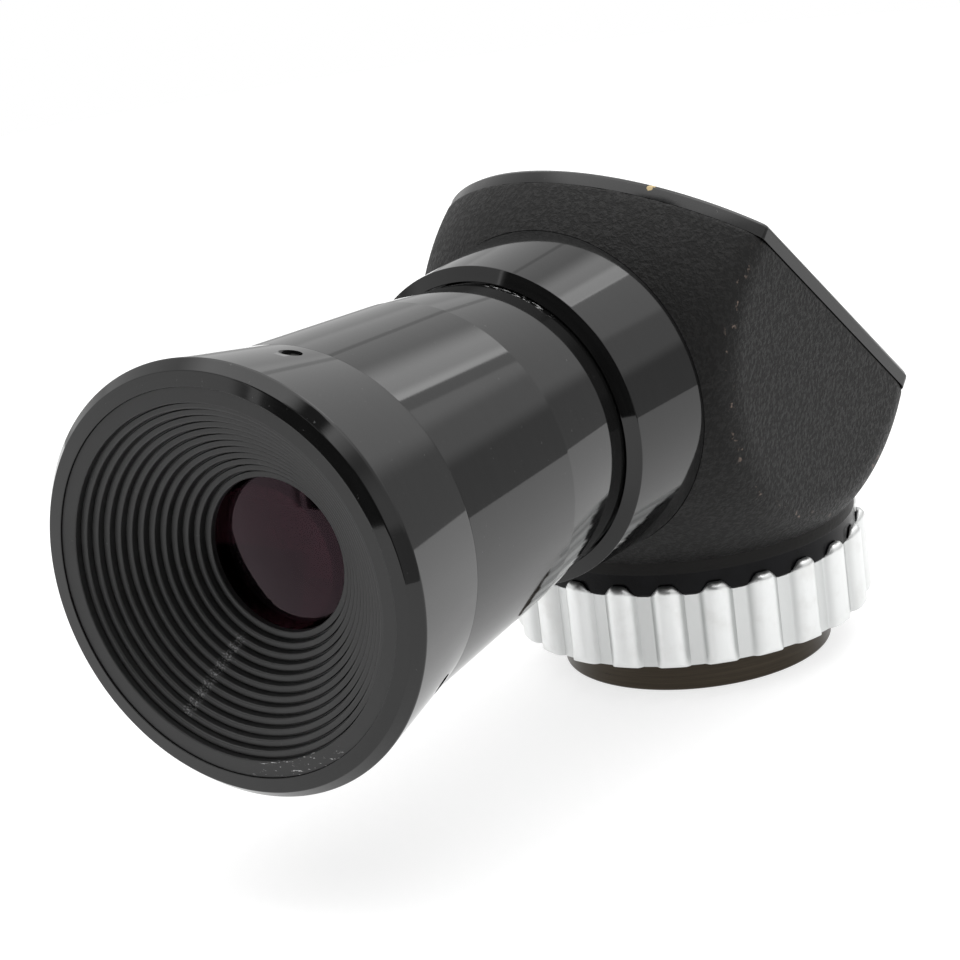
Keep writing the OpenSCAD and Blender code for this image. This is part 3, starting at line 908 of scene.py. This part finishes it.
ring_hub_r, ring_hub_end = 9.45, RING_TOP + 1.8
ring_bore_r = 10.5
ring = turned("coupling_ring", [
    (ring_hub_r, RING_TOP + RING_RECESS, 0), (RECESS_R, RING_TOP + RING_RECESS, 0),
    (RECESS_R, RING_TOP, 0.05), (RING_R, RING_TOP, 0.6), (RING_R, RING_END, 0.75),
    (ring_bore_r, RING_END, 0.15), (ring_bore_r, ring_hub_end, 0), (ring_hub_r, ring_hub_end, 0)],
    along_drop, LOBES * 36, lobed)
finish_piece(ring, "satin_chrome", "coupling", "coupling_ring")

sleeve_bore_r, sleeve_spigot_r, sleeve_top = 9.2, 10.48, 20.7
sleeve_step = RING_END + 0.02
sleeve = turned("mount_sleeve", [
    (sleeve_bore_r, sleeve_top, 0), (sleeve_spigot_r, sleeve_top, 0), (sleeve_spigot_r, sleeve_step, 0),
    (SLEEVE_R, sleeve_step, 0), (SLEEVE_R, ELBOW_Z, 0.25), (sleeve_bore_r, ELBOW_Z, 0.2)], along_drop)
finish_piece(sleeve, "gunmetal", "coupling", "mount_sleeve")


# ---------------------------------------------------------------- CAD pieces that stay

KEPT = {
    "right_angle_prism": "prism_glass", "prism_pad": "cork", "prism_clip": "spring_bronze",
    "clip_screws": "steel_screw", "objective_retainer": "blackened_brass",
    "neck_nut": "plain_brass", "friction_washer": "spring_bronze", "lens_carrier": "blackened_brass",
    "guide_screw": "steel_screw", "lens_spacer": "blackened_brass",
    "lens_retainer": "blackened_brass", "field_stop": "blackened_brass",
    "barrel_nut": "plain_brass",
}
for node, slot in KEPT.items():
    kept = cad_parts[node]
    for spot in kept.material_slots:
        spot.material = FINISHES[slot]
    weigh_normals(kept)


# ---------------------------------------------------------------- floor

def floor():
    """A round pale sheet that the sleeve stands on."""
    floor_r, rings, steps = 200, 24, 96
    verts = [Vector((0, 0, 0))]
    faces = []
    for k in range(1, rings + 1):
        for i in range(steps):
            r, a = floor_r * k / rings, TURN * i / steps
            verts.append(Vector((r * math.cos(a), r * math.sin(a), 0)))
    for i in range(steps):
        j = (i + 1) % steps
        faces.append((0, 1 + i, 1 + j))
        for k in range(rings - 1):
            a, b = 1 + k * steps, 1 + (k + 1) * steps
            faces.append((a + i, b + i, b + j, a + j))
    obj = mesh_object("floor", verts, faces)
    f = Finish("floor_paper", Roughness=0.9, Specular_IOR_Level=0.1,
               Emission_Color=(1, 1, 1, 1), Emission_Strength=0.7)
    grain = f.noise(1.2, 3, 0.6)
    f.colour(f.blend(f.ramp(grain, 0.3, 0.7), (0.4, 0.4, 0.4), (0.43, 0.43, 0.43)))
    obj.data.materials.append(f.material)


floor()


# ---------------------------------------------------------------- light

def directions(w):
    """The bearing from behind the object, positive towards +X, and the height, both in degrees."""
    parts = w.node("ShaderNodeSeparateXYZ")
    w.link(w.node("ShaderNodeTexCoord").outputs["Generated"], parts.inputs["Vector"])
    x, y, z = (parts.outputs[k] for k in "XYZ")
    degrees = 180 / math.pi
    return w.times(w.math("ARCTAN2", x, y), degrees), w.times(w.math("ARCSINE", z), degrees)


def window(w, value, low, high, low_soft, high_soft):
    """1 while value is between low and high, with soft ends; high may be a socket."""
    falling = w.ramp(w.minus(value, high), -high_soft, high_soft, 1, 0)
    return w.times(w.ramp(value, low - low_soft, low + low_soft), falling)


def room_brightness(w):
    """A pale room, dimmer near the floor, with soft lit panels, two slits and two dark gaps."""
    bearing, height = directions(w)

    def panel(left, right, low, high, strength, left_soft=1.0, right_soft=1.0):
        across = window(w, bearing, left, right, left_soft, right_soft)
        return w.times(w.times(across, window(w, height, low, high, 2, 2)), strength)

    room = w.plus(w.ramp(height, 9, 15, 0.58, 1.2), w.ramp(height, 42, 58, 0, 1.9))
    slant = w.ramp(height, 29, 37, 6, 12)
    panels = [
        # High behind the object, the first two ending at an edge that slants
        panel(-10, slant, 27, 62, 1.7, 6, 0.3), panel(3, slant, 27, 50, 1.4, 2, 0.3),
        panel(11, 32, 23, 62, 0.6, 0.5),
        # Low behind it towards -X, and a thin, tall, darker bar there
        panel(-75, -12, -6, 13, 0.36, 6, 4), panel(-27, -25.4, -8, 70, -0.35, 0.4, 0.4),
        # Low in front of it towards -X
        panel(-147, -105, -22, 8, 1.1, 1, 8),
    ]
    for lit in panels:
        room = w.plus(room, lit)
    # Both gaps are in front of the object, the high one towards +X
    gap_low = w.times(w.plus(w.ramp(bearing, 118, 128), w.ramp(bearing, -152, -148, 1, 0)),
                      w.ramp(height, 36, 48, 1, 0))
    gap_high = w.times(w.times(w.ramp(bearing, 133, 139), w.ramp(bearing, 174, 178, 1, 0)),
                       w.times(w.ramp(height, 50, 55), w.ramp(height, 66, 72, 1, 0)))
    dark = w.math("MAXIMUM", gap_low, gap_high)
    room = w.times(room, w.minus(1.0, w.times(dark, 0.95)))
    for slit in (panel(-149.6, -148.4, -20, 50, 1.2, 0.3, 0.3), panel(156.6, 158, -12, 40, 0.9, 0.3, 0.3)):
        room = w.plus(room, slit)
    return room


def studio_world():
    """The room lights the object, and a plain white backdrop stands behind it."""
    world = bpy.data.worlds.new("studio")
    world.use_nodes = True
    bpy.context.scene.world = world
    w = Nodes(world.node_tree)
    w.tree.nodes.clear()
    room = w.node("ShaderNodeBackground")
    w.link(room_brightness(w), room.inputs["Strength"])
    backdrop = w.node("ShaderNodeBackground", Strength=1.0, Color=(1, 1, 1, 1))
    pick = w.node("ShaderNodeMixShader")
    w.link(w.node("ShaderNodeLightPath").outputs["Is Camera Ray"], pick.inputs["Fac"])
    w.link(room.outputs["Background"], pick.inputs[1])
    w.link(backdrop.outputs["Background"], pick.inputs[2])
    w.link(pick.outputs["Shader"], w.node("ShaderNodeOutputWorld").inputs["Surface"])


studio_world()
bpy.context.scene.view_settings.view_transform = "Standard"
bpy.context.scene.view_settings.look = "None"


# ---------------------------------------------------------------- camera

def camera():
    """A long lens, right of the eyepiece's axis and above it, slightly rolled."""
    bearing, height, roll = math.radians(36.654), math.radians(18.748), math.radians(-6.865)
    distance, right_of, above = 470.81, -15.077, -12.008
    back = Vector((math.sin(bearing) * math.cos(height), -math.cos(bearing) * math.cos(height),
                   math.sin(height)))
    level = Vector((math.cos(bearing), math.sin(bearing), 0))
    upright = back.cross(level)
    right = math.cos(roll) * level + math.sin(roll) * upright
    up = -math.sin(roll) * level + math.cos(roll) * upright
    data = bpy.data.cameras.new("camera")
    data.lens = 217.02
    data.sensor_width = 36
    data.clip_start, data.clip_end = 0.01, 10
    obj = bpy.data.objects.new("camera", data)
    turn = Matrix((right, up, back)).transposed().to_4x4()
    place = (ELBOW + back * distance + right * right_of + up * above) * MM
    obj.matrix_world = Matrix.Translation(place) @ turn
    bpy.context.scene.collection.objects.link(obj)
    bpy.context.scene.camera = obj


camera()
